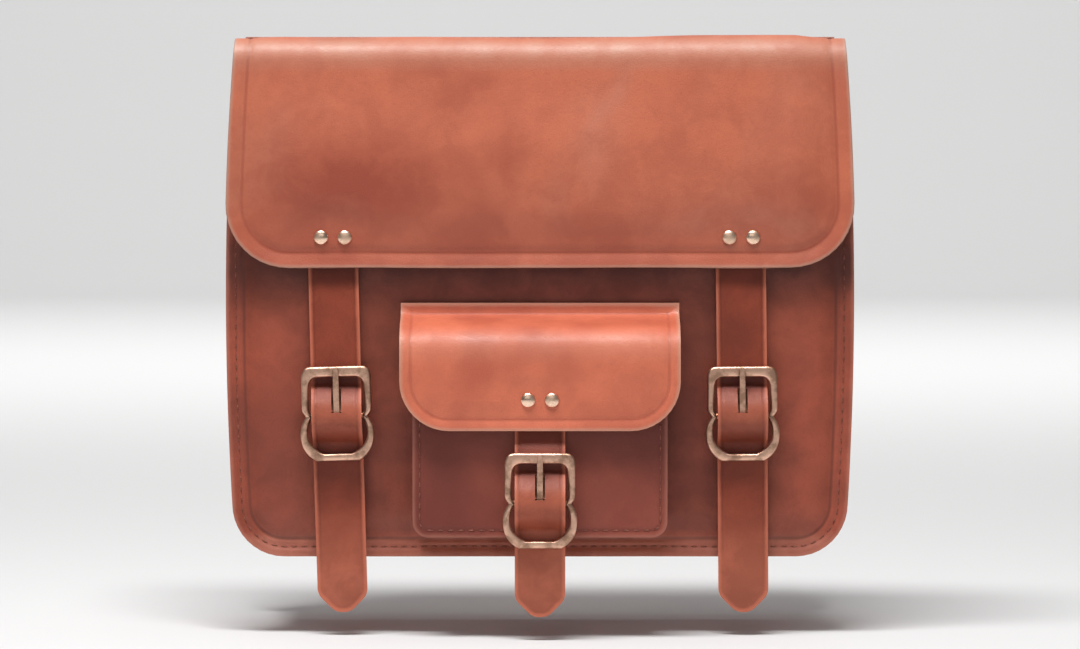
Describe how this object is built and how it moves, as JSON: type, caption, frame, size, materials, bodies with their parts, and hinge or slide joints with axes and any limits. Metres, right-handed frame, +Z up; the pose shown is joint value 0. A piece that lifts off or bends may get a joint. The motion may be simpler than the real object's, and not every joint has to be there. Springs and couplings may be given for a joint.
{
  "type": "saddlebag",
  "caption": "Leather motorcycle saddlebag: boxed body, fold-over flap, small front pocket, buckled closure straps with hidden press studs, rear mounting straps.",
  "frame": {"origin": "middle of the wear patch's outer face on the back of the bag, where it lies against the motorcycle", "axes": "+X towards the right of the bag seen from its front, +Y backwards into the motorcycle, +Z up"},
  "size_m": [0.32, 0.1923, 0.2917],
  "materials": {
    "flap_leather": "waxed tan leather, satin, lighter on the flaps",
    "body_leather": "waxed tan leather, satin",
    "strap_leather": "waxed tan strap leather with burnished edges",
    "brass": "antiqued brass plate",
    "rivet_metal": "polished pale brass",
    "board": "matt stiffening board"
  },
  "bodies": {
    "bag": {"back_panel": "body_leather", "front_panel": "body_leather", "gusset": "body_leather", "back_stiffener": "board", "base_board": "board", "wear_patch": "body_leather", "flap_hem": "flap_leather", "pocket_gusset": "body_leather", "pocket_front": "body_leather", "pocket_flap_hem": "flap_leather", "left_snap_stud": "rivet_metal", "right_snap_stud": "rivet_metal", "pocket_snap_stud": "rivet_metal", "left_rear_strap": "strap_leather", "right_rear_strap": "strap_leather", "left_rear_buckle": "brass", "right_rear_buckle": "brass", "left_bridge": "body_leather", "right_bridge": "body_leather", "left_bridge_rivet_1": "rivet_metal", "left_bridge_rivet_2": "rivet_metal", "right_bridge_rivet_1": "rivet_metal", "right_bridge_rivet_2": "rivet_metal"},
    "flap_top": {"flap_top": "flap_leather"},
    "flap_front": {"flap_front": "flap_leather", "left_strap_root": "strap_leather", "right_strap_root": "strap_leather", "left_rivet_1": "rivet_metal", "left_rivet_2": "rivet_metal", "right_rivet_1": "rivet_metal", "right_rivet_2": "rivet_metal"},
    "pocket_flap": {"pocket_flap": "flap_leather", "pocket_strap_root": "strap_leather", "pocket_rivet_1": "rivet_metal", "pocket_rivet_2": "rivet_metal"},
    "left_strap": {"left_strap": "strap_leather", "left_buckle": "brass", "left_buckle_tab": "strap_leather", "left_snap_socket": "rivet_metal"},
    "left_tongue": {"left_tongue": "brass"},
    "right_strap": {"right_strap": "strap_leather", "right_buckle": "brass", "right_buckle_tab": "strap_leather", "right_snap_socket": "rivet_metal"},
    "right_tongue": {"right_tongue": "brass"},
    "pocket_strap": {"pocket_strap": "strap_leather", "pocket_buckle": "brass", "pocket_buckle_tab": "strap_leather", "pocket_snap_socket": "rivet_metal"},
    "pocket_tongue": {"pocket_tongue": "brass"},
    "left_rear_tongue": {"left_rear_tongue": "brass"},
    "right_rear_tongue": {"right_rear_tongue": "brass"}
  },
  "joints": [
    {"name": "flap_hinge", "type": "hinge", "parent": "bag", "child": "flap_top", "pos_m": [0, 0, 0.132], "axis": [-1, 0, 0], "range_deg": [0, 110]},
    {"name": "flap_front_fold", "type": "hinge", "parent": "flap_top", "child": "flap_front", "pos_m": [0, -0.1172, 0.132], "axis": [-1, 0, 0], "range_deg": [0, 85]},
    {"name": "pocket_flap_hinge", "type": "hinge", "parent": "bag", "child": "pocket_flap", "pos_m": [0, -0.113, -0.0093], "axis": [-1, 0, 0], "range_deg": [0, 75]},
    {"name": "left_strap_hinge", "type": "hinge", "parent": "flap_front", "child": "left_strap", "pos_m": [-0.105, -0.1139, 0.015], "axis": [-0.9996, 0, -0.0279], "range_deg": [0, 80]},
    {"name": "left_tongue_hinge", "type": "hinge", "parent": "left_strap", "child": "left_tongue", "pos_m": [-0.10292, -0.1206, -0.05947], "axis": [0.9996, 0, 0.0279], "range_deg": [0, 8]},
    {"name": "right_strap_hinge", "type": "hinge", "parent": "flap_front", "child": "right_strap", "pos_m": [0.102, -0.1139, 0.015], "axis": [-1, 0, -0.0087], "range_deg": [0, 80]},
    {"name": "right_tongue_hinge", "type": "hinge", "parent": "right_strap", "child": "right_tongue", "pos_m": [0.10265, -0.1206, -0.0595], "axis": [1, 0, 0.0087], "range_deg": [0, 8]},
    {"name": "pocket_strap_hinge", "type": "hinge", "parent": "pocket_flap", "child": "pocket_strap", "pos_m": [0, -0.1389, -0.0662], "axis": [-1, 0, 0], "range_deg": [0, 80]},
    {"name": "pocket_tongue_hinge", "type": "hinge", "parent": "pocket_strap", "child": "pocket_tongue", "pos_m": [0, -0.1456, -0.1019], "axis": [1, 0, 0], "range_deg": [0, 8]},
    {"name": "left_rear_tongue_hinge", "type": "hinge", "parent": "bag", "child": "left_rear_tongue", "pos_m": [-0.095, 0.0321, 0], "axis": [-1, 0, 0], "range_deg": [0, 8]},
    {"name": "right_rear_tongue_hinge", "type": "hinge", "parent": "bag", "child": "right_rear_tongue", "pos_m": [0.095, 0.0321, 0], "axis": [-1, 0, 0], "range_deg": [0, 8]}
  ]
}
